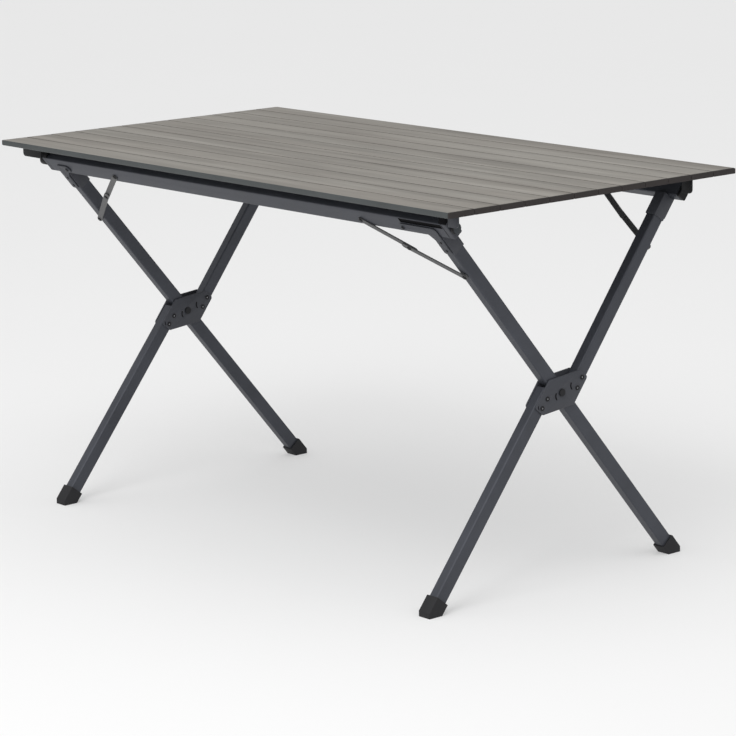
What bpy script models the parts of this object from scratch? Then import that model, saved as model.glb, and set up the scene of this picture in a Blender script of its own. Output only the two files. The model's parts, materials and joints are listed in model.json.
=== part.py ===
"""Folding camp table: a roll-up top of long aluminium slats on a scissor frame.

Metres, +Z up. X runs along the table, the front is at -Y, and the origin lies on
the floor under the middle of the top.
"""
import math

import bmesh
import bpy
from mathutils import Matrix, Vector

# Top
TOP_HEIGHT = 0.700
TOP_OVERHANG = 0.07325
SLAT_COUNT = 12
SLAT_PITCH = 0.0562
SLAT_GAP = 0.0005
SLAT_THICKNESS = 0.010
SLAT_WALL = 0.0012
SLAT_EDGE = 0.0008
SEAT_HEIGHT = 0.0095

# Scissor pivot, the run from it to each rail's top edge, and the slope of the rear lower legs
HUB_Y = 0.0042
HUB_HEIGHT = 0.3393
FRONT_RAIL_RUN = 0.27871
REAR_RAIL_RUN = 0.28234
REAR_LOWER_ANGLE = math.radians(51.8)

# Leg tubes: the depth lies in the plane of the scissor, the width along X
LEG_INSET = 0.0315
LEG_DEPTH = 0.025
LEG_WIDTH = 0.020
LEG_WALL = 0.0015
LEG_OFFSET = 0.0258
LEG_HALF_START = 0.0125
LEG_EDGE = 0.0025

# Rails
RAIL_LENGTH = 1.107
RAIL_DEPTH = 0.035
RAIL_THICKNESS = 0.020
RAIL_WALL = 0.0015
RAIL_EDGE = 0.0022

# Rail ends
PLUG_DEPTH = 0.012
CASTING_LENGTH = 0.0128
CASTING_EDGE = 0.0015
CAP_LENGTH = 0.0063
KNOB_RADIUS = 0.0096
KNOB_LENGTH = {"left": 0.0200, "right": 0.0085}
KNOB_EDGE = 0.0022

# Leg sockets under the rails
SOCKET_WALL = 0.0010
SOCKET_LENGTH = 0.0445
SOCKET_HEAD = 0.020
SOCKET_SLOT = 0.002

# Corner hinge plates
PLATE_THICKNESS = 0.002
PIVOT_HEIGHT = 0.013
PLATE_RADIUS = 0.0085
PLATE_ARM_X = 0.0085
PLATE_ARM_DROP = 0.040
PLATE_CORNER = 0.008
PIVOT_INSET_RIGHT = 0.072
PIVOT_INSET_LEFT = 0.021
HINGE_PIN_RADIUS = 0.004
HINGE_PIN_HEAD = 0.0015

# Stays: two flat links a corner, as (x from the leg's middle, height above the rail's lower edge)
LINK_WIDTH = 0.0105
LINK_THICKNESS = 0.002
STAY_RIGHT = ((-0.180, 0.0125), (-0.095, -0.0400), (0.002, -0.0950))
STAY_LEFT = ((-0.171, 0.0135), (-0.088, -0.0500), (0.002, -0.1255))
LINK_LAP = 0.010
LINK_BOSS_RADIUS = 0.0045

# Hub plates and their bolt
HUB_PLATE = 0.003
HUB_HALF_LENGTH = 0.053
HUB_HALF_DEPTH = 0.0387
HUB_NOTCH = 0.015
HUB_SHOULDER = 0.003
HUB_CORNER = 0.005
BOLT_RADIUS = 0.004
BOLT_HEAD_RADIUS = 0.0065
BOLT_HEAD = 0.002

# Feet
FOOT_HEIGHT = 0.0325
FOOT_TIP = 0.0105
FOOT_WALL_X = 0.0033
FOOT_WALL = 0.0017
FOOT_SOLE = 0.006

# Hooks and seats under the top, placed from the rails' ends and top edges
HOOK_GAP_FRONT = 0.02549
HOOK_INSET_REAR = 0.04004
HOOK_LAP = 0.0035
HOOK_REACH = 0.0555
LIP_START = {"left": -0.0035, "right": 0.0315}
HOOK_REAR_START = 0.0325
HOOK_DROP_FRONT = 0.0217
HOOK_DROP_REAR = 0.0270
HOOK_THICKNESS = 0.003
HOOK_CORNER = 0.007
HOOK_PAD = 0.0035
HOOK_PAD_DEPTH = 0.017
SEAT_INNER_INSET = 0.0485
SEAT_OUTER_INSET = 0.0015
SEAT_DEPTH = 0.015

# Clearances
FIT = 0.0003

# Steps around curves
KNOB_SIDES = 32
BOLT_SIDES = 24
PIN_SIDES = 20
PLATE_STEPS = 8
LINK_STEPS = 6
LIP_STEPS = 5
CORNER_STEPS = 3
EDGE_STEPS = 2

# Angles above which an edge is bevelled or shaded sharp, in degrees
BEVEL_ANGLE = 60
SHARP_ANGLE = 35

# Worked-out places
RAIL_END = RAIL_LENGTH / 2
TOP_LENGTH = RAIL_LENGTH + 2 * TOP_OVERHANG
LEG_X = RAIL_END - LEG_INSET
UNDERSIDE = TOP_HEIGHT - SLAT_THICKNESS
RAIL_TOP = UNDERSIDE - SEAT_HEIGHT
FACE = LEG_DEPTH / 2 + FIT
TOP_WIDTH = SLAT_COUNT * SLAT_PITCH
HANDS = (("left", -1), ("right", 1))

COLORS = {
    "top": ((0.29, 0.275, 0.235), 0.5, 0.3),
    "frame": ((0.075, 0.082, 0.10), 0.45, 0.8),
    "hub": ((0.085, 0.09, 0.11), 0.5, 0.6),
    "plastic": ((0.012, 0.012, 0.013), 0.55, 0.0),
    "rubber": ((0.015, 0.015, 0.015), 0.8, 0.0),
    "link": ((0.10, 0.10, 0.10), 0.45, 0.8),
    "steel": ((0.20, 0.20, 0.21), 0.35, 1.0),
}


def clear_scene():
    for item in list(bpy.data.objects):
        bpy.data.objects.remove(item, do_unlink=True)


def material(name, look):
    """A Principled material of the sub-part's own, with the colour, roughness and metal of its look."""
    color, rough, metal = COLORS[look]
    mat = bpy.data.materials.new(name)
    mat.use_nodes = True
    shader = mat.node_tree.nodes["Principled BSDF"]
    shader.inputs["Base Color"].default_value = (*color, 1.0)
    shader.inputs["Roughness"].default_value = rough
    shader.inputs["Metallic"].default_value = metal
    return mat


def empty(name, location, turn=(0.0, 0.0, 0.0)):
    holder = bpy.data.objects.new(name, None)
    holder.location = location
    holder.rotation_euler = turn
    bpy.context.collection.objects.link(holder)
    return holder


def add(name, bm, parent, look, location=(0.0, 0.0, 0.0), smooth=False):
    """Turn a bmesh into a named object under its parent, with outward faces."""
    bmesh.ops.recalc_face_normals(bm, faces=bm.faces)
    mesh = bpy.data.meshes.new(name)
    bm.to_mesh(mesh)
    bm.free()
    obj = bpy.data.objects.new(name, mesh)
    obj.parent = parent
    obj.location = location
    bpy.context.collection.objects.link(obj)
    mesh.materials.append(material(name, look))
    if smooth:
        mesh.shade_smooth()
        mesh.set_sharp_from_angle(angle=math.radians(SHARP_ANGLE))
    return obj


def combine(obj, tool, operation):
    """Leave a Boolean of a hidden wire tool on the object; the tool follows the object."""
    tool.hide_render = True
    tool.display_type = "WIRE"
    step = obj.modifiers.new(tool.name, "BOOLEAN")
    step.operation = operation
    step.solver = "EXACT"
    step.object = tool
    return obj


def arc(cx, cy, radius, start, end, steps):
    """Points on an arc from start to end, in degrees."""
    turns = [math.radians(start + (end - start) * i / steps) for i in range(steps + 1)]
    return [(cx + radius * math.cos(a), cy + radius * math.sin(a)) for a in turns]


def rounded_box(half_a, half_b, radius, steps=CORNER_STEPS):
    """Outline of a rectangle with round corners, anticlockwise."""
    a = half_a - radius
    b = half_b - radius
    return (arc(a, b, radius, 0, 90, steps) + arc(-a, b, radius, 90, 180, steps)
            + arc(-a, -b, radius, 180, 270, steps) + arc(a, -b, radius, 270, 360, steps))


def prism(outline, low, high, axes="XYZ"):
    """Extrude an outline in the first two axes from low to high along the third."""
    order = ["XYZ".index(a) for a in axes]
    bm = bmesh.new()

    def point(a, b, c):
        place = [0.0, 0.0, 0.0]
        for index, value in zip(order, (a, b, c)):
            place[index] = value
        return bm.verts.new(place)

    face = bm.faces.new([point(a, b, low) for a, b in outline])
    grown = bmesh.ops.extrude_face_region(bm, geom=[face])
    rise = Vector((0.0, 0.0, 0.0))
    rise[order[2]] = high - low
    moved = [item for item in grown["geom"] if isinstance(item, bmesh.types.BMVert)]
    bmesh.ops.translate(bm, verts=moved, vec=rise)
    return bm


def box(low, high):
    """A box between two opposite corners."""
    bm = bmesh.new()
    size = [b - a for a, b in zip(low, high)]
    middle = [(a + b) / 2 for a, b in zip(low, high)]
    place = Matrix.Translation(middle) @ Matrix.Diagonal((*size, 1.0))
    bmesh.ops.create_cube(bm, size=1.0, matrix=place)
    return bm


def tube(half_a, half_b, radius, wall, low, high, axes):
    """A rounded rectangular tube, open at both ends."""
    order = ["XYZ".index(a) for a in axes]
    outer = rounded_box(half_a, half_b, radius)
    inner = rounded_box(half_a - wall, half_b - wall, max(radius - wall, wall / 3))
    bm = bmesh.new()
    rings = []
    for outline, end in ((outer, low), (outer, high), (inner, high), (inner, low)):
        ring = []
        for a, b in outline:
            place = [0.0, 0.0, 0.0]
            for index, value in zip(order, (a, b, end)):
                place[index] = value
            ring.append(bm.verts.new(place))
        rings.append(ring)
    count = len(outer)
    for index, ring in enumerate(rings):
        after = rings[(index + 1) % len(rings)]
        for i in range(count):
            j = (i + 1) % count
            bm.faces.new((ring[i], ring[j], after[j], after[i]))
    return bm


def cylinder(radius, low, high, axis, sides, center=(0.0, 0.0)):
    """A round bar along an axis, with its centre in the other two."""
    others = [a for a in "XYZ" if a != axis]
    outline = [(center[0] + radius * math.cos(2 * math.pi * i / sides),
                center[1] + radius * math.sin(2 * math.pi * i / sides)) for i in range(sides)]
    return prism(outline, low, high, "".join(others) + axis)


def bevel(obj, width, segments):
    """Round the sharp edges of an object."""
    step = obj.modifiers.new("soft_edges", "BEVEL")
    step.width = width
    step.segments = segments
    step.limit_method = "ANGLE"
    step.angle_limit = math.radians(BEVEL_ANGLE)
    return obj


def rail_angle(run, offset):
    """Slope of a half whose rail's top edge meets the seats at a run from the scissor pivot."""
    inner = offset + FACE - RAIL_THICKNESS
    rise = RAIL_TOP - HUB_HEIGHT
    return math.atan2(rise, run) + math.asin(inner / math.hypot(rise, run))


def rail_bottom(angle, offset):
    """Height of a rail's lower edge along the leg, so that its top edge meets the seats."""
    inner = offset + FACE - RAIL_THICKNESS
    top = (RAIL_TOP - HUB_HEIGHT + inner * math.cos(angle)) / math.sin(angle)
    return top - RAIL_DEPTH


def floor_line(angle, across):
    """Where the floor cuts a leg's frame, at a distance across the leg."""
    return (across * math.cos(angle) - HUB_HEIGHT) / math.sin(angle)


class Half:
    """One half of the scissor: its frame has Y up the leg and Z square out of the table."""

    def __init__(self, name, angle, flip, offset):
        self.name = name
        self.angle = angle
        self.flip = flip
        self.offset = offset
        self.bottom = rail_bottom(angle, offset)
        turn = (math.pi - angle, 0.0, math.pi if flip else 0.0)
        self.holder = empty(f"{name}_half_frame", (0.0, HUB_Y, HUB_HEIGHT), turn)

    def side(self, hand):
        """Local X sign of the left or right end."""
        sign = 1 if hand == "right" else -1
        return -sign if self.flip else sign


def make_slats():
    """Long hollow slats, each with its origin on the hinge line at its rear top edge."""
    top = empty("top", (0.0, TOP_WIDTH / 2, TOP_HEIGHT))
    reach = SLAT_PITCH - SLAT_GAP
    holders = {}
    for number in range(1, SLAT_COUNT + 1):
        rear_edge = -TOP_WIDTH / 2 + SLAT_PITCH * number
        holder = empty(f"slat_line_{number:02d}", (0.0, rear_edge - TOP_WIDTH / 2, 0.0))
        holder.parent = top
        holders[number] = holder
        bm = tube(reach / 2, SLAT_THICKNESS / 2, SLAT_EDGE, SLAT_WALL,
                  -TOP_LENGTH / 2, TOP_LENGTH / 2, "YZX")
        bmesh.ops.translate(bm, verts=bm.verts, vec=(0.0, -SLAT_PITCH / 2, -SLAT_THICKNESS / 2))
        add(f"slat_{number:02d}", bm, holder, "top")
    return holders


def hook_plate(low_x, high_x, drop, outer_sign):
    """Outline in X and Z of a hook's lip: square at the top, round at its lower outer corner."""
    top = -SLAT_THICKNESS - FIT
    low = top - drop
    r = HOOK_CORNER
    if outer_sign > 0:
        corner = arc(high_x - r, low + r, r, -90, 0, LIP_STEPS)
        return [(low_x, top), (low_x, low), *corner, (high_x, top)]
    corner = arc(low_x + r, low + r, r, 180, 270, LIP_STEPS)
    return [(high_x, top), (low_x, top), *corner, (high_x, low)]


def seat_outline(half, near, far):
    """Section in Y and Z of a wedge between the slats and a rail's sloping outer top face.

    near and far are distances outward from the rail's top edge.
    """
    slope = 1 / math.tan(half.angle)
    gap = FIT / math.sin(half.angle)
    under = RAIL_TOP - TOP_HEIGHT + gap
    top = -SLAT_THICKNESS - FIT
    return [(near, top), (near, under - near * slope), (far, under - far * slope), (far, top)]


def rail_edge_y(half):
    """Y of a rail's top edge."""
    up = half.bottom + RAIL_DEPTH
    out = half.offset + FACE - RAIL_THICKNESS
    y = up * -math.cos(half.angle) + out * -math.sin(half.angle)
    return HUB_Y + (-y if half.flip else y)


def make_hook(name, holder, lip_span, span, lip_y, drop, sign, pad_end):
    """A lip with a round lower outer corner, and the pad that fastens it under its slat."""
    outline = hook_plate(*lip_span, drop, sign)
    lip = prism(outline, lip_y - HOOK_THICKNESS / 2, lip_y + HOOK_THICKNESS / 2, "XZY")
    hook = add(f"top_hook_{name}", lip, holder, "plastic")
    pad_low = (span[0] + FIT, lip_y, -SLAT_THICKNESS - FIT - HOOK_PAD)
    pad_high = (span[1] - FIT, pad_end, -SLAT_THICKNESS - FIT)
    pad = add(f"hook_pad_{name}", box(pad_low, pad_high), holder, "plastic")
    return combine(hook, pad, "UNION")


def make_front_hooks(holder, front):
    """Hooks before the front rail, each with a wedge seat that rests on the rail."""
    line = -TOP_WIDTH / 2 + SLAT_PITCH
    edge = rail_edge_y(front) - line
    lip_y = edge - HOOK_GAP_FRONT
    seat_end = min(edge, -2 * FIT)
    wedge = seat_outline(front, edge - seat_end, RAIL_THICKNESS * math.sin(front.angle))
    outline = [(edge - y, z) for y, z in wedge]
    for hand, sign in HANDS:
        outer_x = RAIL_END + HOOK_REACH
        span = sorted((sign * (RAIL_END - HOOK_LAP), sign * outer_x))
        lip_span = sorted((sign * (RAIL_END + LIP_START[hand]), sign * outer_x))
        hook = make_hook(f"front_{hand}", holder, lip_span, span, lip_y, HOOK_DROP_FRONT, sign, seat_end)
        seat_span = sorted((sign * (RAIL_END - HOOK_LAP), sign * (RAIL_END + CASTING_LENGTH - FIT)))
        seat = add(f"front_seat_{hand}", prism(outline, *seat_span, "YZX"), holder, "plastic")
        combine(hook, seat, "UNION")


def make_rear_seats(holder, rear):
    """Wedges under the last slat that rest on the rear rail."""
    edge = rail_edge_y(rear) - TOP_WIDTH / 2
    outline = [(edge + y, z) for y, z in seat_outline(rear, FIT, SEAT_DEPTH)]
    for hand, sign in HANDS:
        span = sorted((sign * (RAIL_END - SEAT_INNER_INSET), sign * (RAIL_END - SEAT_OUTER_INSET)))
        add(f"top_seat_rear_{hand}", prism(outline, *span, "YZX"), holder, "plastic")


def make_rear_hooks(holder, rear):
    """Hooks beyond the rear rail's ends, under the last slat but one."""
    line = -TOP_WIDTH / 2 + SLAT_PITCH * (SLAT_COUNT - 1)
    lip_y = rail_edge_y(rear) - HOOK_INSET_REAR - line
    for hand, sign in HANDS:
        span = sorted((sign * (RAIL_END + HOOK_REAR_START), sign * (RAIL_END + HOOK_REACH)))
        make_hook(f"rear_{hand}", holder, span, span, lip_y, HOOK_DROP_REAR, sign, lip_y + HOOK_PAD_DEPTH)


def make_rail(half):
    """The rail, its outer face flush with the legs."""
    bm = tube(RAIL_DEPTH / 2, RAIL_THICKNESS / 2, RAIL_EDGE, RAIL_WALL,
              -RAIL_END, RAIL_END, "YZX")
    center = (0.0, half.bottom + RAIL_DEPTH / 2, half.offset + FACE - RAIL_THICKNESS / 2)
    add(f"{half.name}_rail", bm, half.holder, "frame", center)
    return center


def make_rail_ends(half, center):
    """End castings and knobs on the front rail, thin end caps on the rear rail."""
    kind, look, length = "casting", "frame", CASTING_LENGTH
    if half.flip:
        kind, look, length = "cap", "plastic", CAP_LENGTH
    outline = rounded_box(RAIL_DEPTH / 2, RAIL_THICKNESS / 2, RAIL_EDGE)
    inside = RAIL_WALL + FIT
    plug_outline = rounded_box(RAIL_DEPTH / 2 - inside, RAIL_THICKNESS / 2 - inside, RAIL_EDGE)
    for hand, _ in HANDS:
        side = half.side(hand)
        place = (side * RAIL_END, center[1], center[2])
        flange = prism(outline, side * FIT, side * length, "YZX")
        end = add(f"{half.name}_rail_{kind}_{hand}", flange, half.holder, look, place)
        bevel(end, CASTING_EDGE, EDGE_STEPS)
        span = sorted((-side * PLUG_DEPTH, side * length / 2))
        plug = add(f"{half.name}_plug_{hand}", prism(plug_outline, *span, "YZX"), half.holder, look, place)
        combine(end, plug, "UNION")
        if not half.flip:
            knob = cylinder(KNOB_RADIUS, side * FIT, side * KNOB_LENGTH[hand], "X", KNOB_SIDES)
            place = (side * (RAIL_END + CASTING_LENGTH), center[1], center[2])
            knob = add(f"end_knob_{hand}", knob, half.holder, "plastic", place, smooth=True)
            bevel(knob, KNOB_EDGE, CORNER_STEPS)


def make_socket(half, hand):
    """A leg's head under the rail: a cup open towards the hinge plate, with a solid top."""
    side = half.side(hand)
    half_x = LEG_WIDTH / 2 + FIT + SOCKET_WALL
    low = half.bottom - SOCKET_LENGTH
    inner = half.offset - LEG_DEPTH / 2 - FIT - SOCKET_WALL
    outer = half.offset + LEG_DEPTH / 2
    middle = side * LEG_X
    bm = box((-half_x, low, inner), (half_x, half.bottom - FIT, outer))
    socket = add(f"{half.name}_leg_socket_{hand}", bm, half.holder, "hub", (middle, 0.0, 0.0))
    clear_x = LEG_WIDTH / 2 + FIT
    cup = box((-clear_x, low - SOCKET_SLOT, inner + SOCKET_WALL),
              (clear_x, half.bottom - SOCKET_HEAD, outer + SOCKET_SLOT))
    tool = add(f"{half.name}_cup_{hand}", cup, half.holder, "hub", (middle, 0.0, 0.0))
    combine(socket, tool, "DIFFERENCE")


def hinge_outline(pivot_x, side):
    """Boomerang outline in X and height above the rail's lower edge, bent at the leg."""
    leg_in = LEG_X - PLATE_ARM_X
    leg_out = LEG_X + LEG_WIDTH / 2
    r = PLATE_RADIUS
    c = PLATE_CORNER
    top = PIVOT_HEIGHT + r
    points = arc(pivot_x, PIVOT_HEIGHT, r, 270, 90, PLATE_STEPS)
    points += arc(leg_out - c, top - c, c, 90, 0, CORNER_STEPS)
    points += arc(leg_out - c / 2, -PLATE_ARM_DROP + c / 2, c / 2, 0, -90, CORNER_STEPS)
    points += arc(leg_in + c / 2, -PLATE_ARM_DROP + c / 2, c / 2, -90, -180, CORNER_STEPS)
    points += [(leg_in, -c), (leg_in - c, PIVOT_HEIGHT - r)]
    return [(side * x, y) for x, y in points]


def make_hinge(half, hand):
    """Corner hinge plate with its pin head, over the rail's and the socket's outer faces."""
    side = half.side(hand)
    pivot_x = LEG_X - (PIVOT_INSET_RIGHT if hand == "right" else PIVOT_INSET_LEFT)
    low = half.offset + FACE + FIT
    bm = prism(hinge_outline(pivot_x, side), low, low + PLATE_THICKNESS)
    plate = add(f"{half.name}_hinge_plate_{hand}", bm, half.holder, "hub", (0.0, half.bottom, 0.0))
    head = cylinder(HINGE_PIN_RADIUS, low + PLATE_THICKNESS / 2, low + PLATE_THICKNESS + HINGE_PIN_HEAD,
                    "Z", PIN_SIDES, (side * pivot_x, PIVOT_HEIGHT))
    tool = add(f"{half.name}_pin_{hand}", head, half.holder, "steel", (0.0, half.bottom, 0.0))
    combine(plate, tool, "UNION")


def link_outline(start, end, side):
    """A flat link with round ends between two pivots."""
    r = LINK_WIDTH / 2
    turn = math.degrees(math.atan2(end.y - start.y, end.x - start.x))
    points = arc(start.x, start.y, r, turn + 90, turn + 270, LINK_STEPS)
    points += arc(end.x, end.y, r, turn - 90, turn + 90, LINK_STEPS)
    return [(side * x, y) for x, y in points]


def make_stay(half, hand):
    """Two flat links: one on the rail, and one from it to a boss on the leg."""
    side = half.side(hand)
    pivots = STAY_RIGHT if hand == "right" else STAY_LEFT
    rail_pivot, elbow, leg_pivot = (Vector((LEG_X + x, y)) for x, y in pivots)
    rail_end = elbow + (elbow - rail_pivot).normalized() * LINK_LAP
    leg_start = elbow + (elbow - leg_pivot).normalized() * LINK_LAP
    low = half.offset + FACE + FIT
    place = (0.0, half.bottom, 0.0)
    inner = prism(link_outline(rail_pivot, rail_end, side), low, low + LINK_THICKNESS)
    add(f"{half.name}_stay_rail_link_{hand}", inner, half.holder, "link", place)
    level = low + LINK_THICKNESS + FIT
    outer = prism(link_outline(leg_start, leg_pivot, side), level, level + LINK_THICKNESS)
    link = add(f"{half.name}_stay_leg_link_{hand}", outer, half.holder, "link", place)
    boss = cylinder(LINK_BOSS_RADIUS, half.offset + FACE, level + LINK_THICKNESS / 2, "Z",
                    PIN_SIDES, (side * leg_pivot.x, leg_pivot.y))
    tool = add(f"{half.name}_boss_{hand}", boss, half.holder, "link", place)
    combine(link, tool, "UNION")


def leg_bore(leg, parent, name, x):
    """A hole across a leg for the hub bolt."""
    bore = cylinder(BOLT_RADIUS + FIT, -LEG_WIDTH, LEG_WIDTH, "X", BOLT_SIDES)
    tool = add(name, bore, parent, "steel", (x, 0.0, 0.0))
    combine(leg, tool, "DIFFERENCE")


def make_foot(name, parent, angle, across, x):
    """A rubber cup on a leg's lower end, cut flat on the floor and upright at its toe."""
    half_n = LEG_DEPTH / 2 + FIT + FOOT_WALL
    half_x = LEG_WIDTH / 2 + FIT + FOOT_WALL_X
    middle = floor_line(angle, across)
    top = middle + FOOT_HEIGHT
    tip = FOOT_TIP - middle * math.cos(angle) - across * math.sin(angle)
    toe = (-tip * math.cos(angle) - HUB_HEIGHT * math.sin(angle),
           -tip * math.sin(angle) + HUB_HEIGHT * math.cos(angle))
    upper = across - half_n
    brow = ((-tip - upper * math.sin(angle)) / math.cos(angle), upper)
    heel = (floor_line(angle, across + half_n), across + half_n)
    outline = [toe, heel, (top, across + half_n), (top, upper), brow]
    foot = add(name, prism(outline, -half_x, half_x, "YZX"), parent, "rubber", (x, 0.0, 0.0))
    clear_n = LEG_DEPTH / 2 + FIT
    clear_x = LEG_WIDTH / 2 + FIT
    low = leg_end(angle, across) - FIT
    cup = box((-clear_x, low, across - clear_n), (clear_x, top + FOOT_SOLE, across + clear_n))
    tool = add(f"{name}_cup", cup, parent, "rubber", (x, 0.0, 0.0))
    combine(foot, tool, "DIFFERENCE")


def leg_end(angle, across):
    """Lower end of a leg tube, with a rubber sole under its lowest corner."""
    return floor_line(angle, across + LEG_DEPTH / 2) + FOOT_SOLE


def leg_tube(low, high, across):
    """A leg tube between two heights along the leg."""
    bm = tube(LEG_DEPTH / 2, LEG_WIDTH / 2, LEG_EDGE, LEG_WALL, low, high, "ZXY")
    bmesh.ops.translate(bm, verts=bm.verts, vec=(0.0, 0.0, across))
    return bm


def hub_outline():
    """Point-symmetric plate between the two offset leg halves, in leg height and depth."""
    a = HUB_HALF_LENGTH
    b = HUB_HALF_DEPTH
    c = HUB_CORNER
    half = arc(a - c, b - c, c, 0, 90, CORNER_STEPS)
    half += [(-HUB_SHOULDER, b), (-a, -HUB_NOTCH)]
    return half + [(-y, -z) for y, z in half]


def make_hub(rear, hand):
    """Two plates with the bolt that carries the straight leg between them."""
    side = rear.side(hand)
    for place, direction in (("outer", 1), ("inner", -1)):
        face = side * LEG_X + side * direction * (LEG_WIDTH / 2 + FIT)
        back = face + side * direction * HUB_PLATE
        plate = prism(hub_outline(), min(face, back), max(face, back), "YZX")
        plate = add(f"hub_plate_{place}_{hand}", plate, rear.holder, "hub")
        bore = cylinder(BOLT_RADIUS + FIT, -HUB_PLATE, HUB_PLATE, "X", BOLT_SIDES)
        tool = add(f"hub_bore_{place}_{hand}", bore, rear.holder, "steel", ((face + back) / 2, 0.0, 0.0))
        combine(plate, tool, "DIFFERENCE")


def make_bolt(front, hand):
    """The scissor bolt, with a low head at each end."""
    side = front.side(hand)
    reach = LEG_WIDTH / 2 + HUB_PLATE + 2 * FIT
    bolt = cylinder(BOLT_RADIUS, -reach - BOLT_HEAD / 2, reach + BOLT_HEAD / 2, "X", BOLT_SIDES)
    bolt = add(f"hub_bolt_{hand}", bolt, front.holder, "steel", (side * LEG_X, 0.0, 0.0), smooth=True)
    for end, sign in (("outer", 1), ("inner", -1)):
        span = sorted((sign * reach, sign * (reach + BOLT_HEAD)))
        head = add(f"bolt_head_{end}_{hand}", cylinder(BOLT_HEAD_RADIUS, *span, "X", BOLT_SIDES),
                   front.holder, "steel", (side * LEG_X, 0.0, 0.0))
        combine(bolt, head, "UNION")


def make_front_legs(front):
    """Straight legs from the front rail down to the rear feet."""
    for hand, _ in HANDS:
        x = front.side(hand) * LEG_X
        low = leg_end(front.angle, 0.0)
        high = front.bottom - SOCKET_HEAD - FIT
        leg = add(f"front_rail_leg_{hand}", leg_tube(low, high, 0.0), front.holder, "frame", (x, 0.0, 0.0))
        leg_bore(leg, front.holder, f"leg_bore_{hand}", x)
        make_foot(f"rear_foot_{hand}", front.holder, front.angle, 0.0, x)


def make_rear_legs(rear):
    """Rear legs in two halves, one each side of the straight leg, joined by the hub plates."""
    lower = empty("rear_lower_line", (0.0, 0.0, 0.0), (rear.angle - REAR_LOWER_ANGLE, 0.0, 0.0))
    lower.parent = rear.holder
    for hand, _ in HANDS:
        x = rear.side(hand) * LEG_X
        high = rear.bottom - SOCKET_HEAD - FIT
        add(f"rear_rail_leg_upper_{hand}", leg_tube(LEG_HALF_START, high, LEG_OFFSET), rear.holder, "frame",
            (x, 0.0, 0.0))
        low = leg_end(REAR_LOWER_ANGLE, -LEG_OFFSET)
        add(f"rear_rail_leg_lower_{hand}", leg_tube(low, -LEG_HALF_START, -LEG_OFFSET), lower, "frame",
            (x, 0.0, 0.0))
        make_foot(f"front_foot_{hand}", lower, REAR_LOWER_ANGLE, -LEG_OFFSET, x)


def main():
    clear_scene()
    front = Half("front", rail_angle(FRONT_RAIL_RUN, 0.0), False, 0.0)
    rear = Half("rear", rail_angle(REAR_RAIL_RUN, LEG_OFFSET), True, LEG_OFFSET)
    holders = make_slats()
    make_front_hooks(holders[1], front)
    make_rear_seats(holders[SLAT_COUNT], rear)
    make_rear_hooks(holders[SLAT_COUNT - 1], rear)
    for half in (front, rear):
        center = make_rail(half)
        make_rail_ends(half, center)
        for hand, _ in HANDS:
            make_socket(half, hand)
            make_hinge(half, hand)
            make_stay(half, hand)
    make_front_legs(front)
    make_rear_legs(rear)
    for hand, _ in HANDS:
        make_hub(rear, hand)
        make_bolt(front, hand)


main()
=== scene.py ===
"""Folding camp table: the visual model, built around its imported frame."""

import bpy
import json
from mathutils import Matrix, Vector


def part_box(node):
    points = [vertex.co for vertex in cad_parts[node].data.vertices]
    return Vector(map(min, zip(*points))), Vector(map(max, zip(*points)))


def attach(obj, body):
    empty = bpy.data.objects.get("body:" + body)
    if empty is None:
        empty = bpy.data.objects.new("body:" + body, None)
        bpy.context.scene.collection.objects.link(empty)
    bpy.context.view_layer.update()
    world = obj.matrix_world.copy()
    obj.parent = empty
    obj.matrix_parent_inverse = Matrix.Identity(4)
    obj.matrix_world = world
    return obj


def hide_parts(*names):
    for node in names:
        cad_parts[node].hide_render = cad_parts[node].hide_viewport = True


bl_info = {
    "name": "Folding Camp Table",
    "version": (1, 0, 0),
    "blender": (4, 5, 0),
    "location": "3D View > Sidebar > Camp Table",
    "description": "Builds the slats, frame, fittings and studio of a folding camp table",
    "category": "Object",
}

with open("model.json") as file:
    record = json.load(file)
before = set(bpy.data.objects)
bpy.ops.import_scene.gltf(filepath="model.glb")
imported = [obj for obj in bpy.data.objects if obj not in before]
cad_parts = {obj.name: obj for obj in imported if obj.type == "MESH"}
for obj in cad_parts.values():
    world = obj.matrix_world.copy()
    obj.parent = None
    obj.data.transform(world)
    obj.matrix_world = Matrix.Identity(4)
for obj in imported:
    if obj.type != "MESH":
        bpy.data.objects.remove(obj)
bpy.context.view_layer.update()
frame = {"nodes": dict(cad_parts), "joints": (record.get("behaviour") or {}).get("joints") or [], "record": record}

import json
import math

import bmesh
import bpy
from mathutils import Euler, Matrix, Vector


def middle_x(node):
    """The middle of a CAD node along X."""
    low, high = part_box(node)
    return (low.x + high.x) / 2


# The slats from front to rear, the body of each node, and the two ends of the table
SLATS = sorted(node for node in frame["nodes"] if node.startswith("slat_"))
BODY_OF = {node: body for body, members in frame["record"]["behaviour"]["bodies"].items()
           for node in members}
HANDS = (("left", -1), ("right", 1))

# Mesh work: the distance that joins corners, flat and sharp angles, and steps of rounded edges
MERGE = 0.00001
FLAT_ANGLE = math.radians(1.0)
SHARP_ANGLE = math.radians(30.0)
EDGE_STEPS = 2
FOOT_EDGE_STEPS = 3
SLAT_EDGE_STEPS = 4
THIN_EDGE_SHARE = 0.7

# How far a face's normal has to lie along an axis to count as facing that way
FILM_LIMIT = 0.9
SIDE_LIMIT = 0.3
END_LIMIT = 0.9
NO_LIMIT = -2.0

# The halves of the frame, as the part has them: from the scissor bolt, with Y up the leg and Z outward
HUB = Vector(next(joint["pos_m"] for joint in frame["joints"] if joint["name"] == "scissor_fold"))
LEG_X = middle_x("front_rail_leg_right")
FRONT_SLOPE = math.radians(49.82)
REAR_SLOPE = math.radians(52.80)
FRONT_RAIL_BOTTOM = 0.40552
REAR_RAIL_BOTTOM = 0.40748
LEG_OFFSET = 0.0258
LEG_FACE = 0.0128
PLATE_LIFT = 0.0003
PLATE_THICKNESS = 0.002

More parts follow.
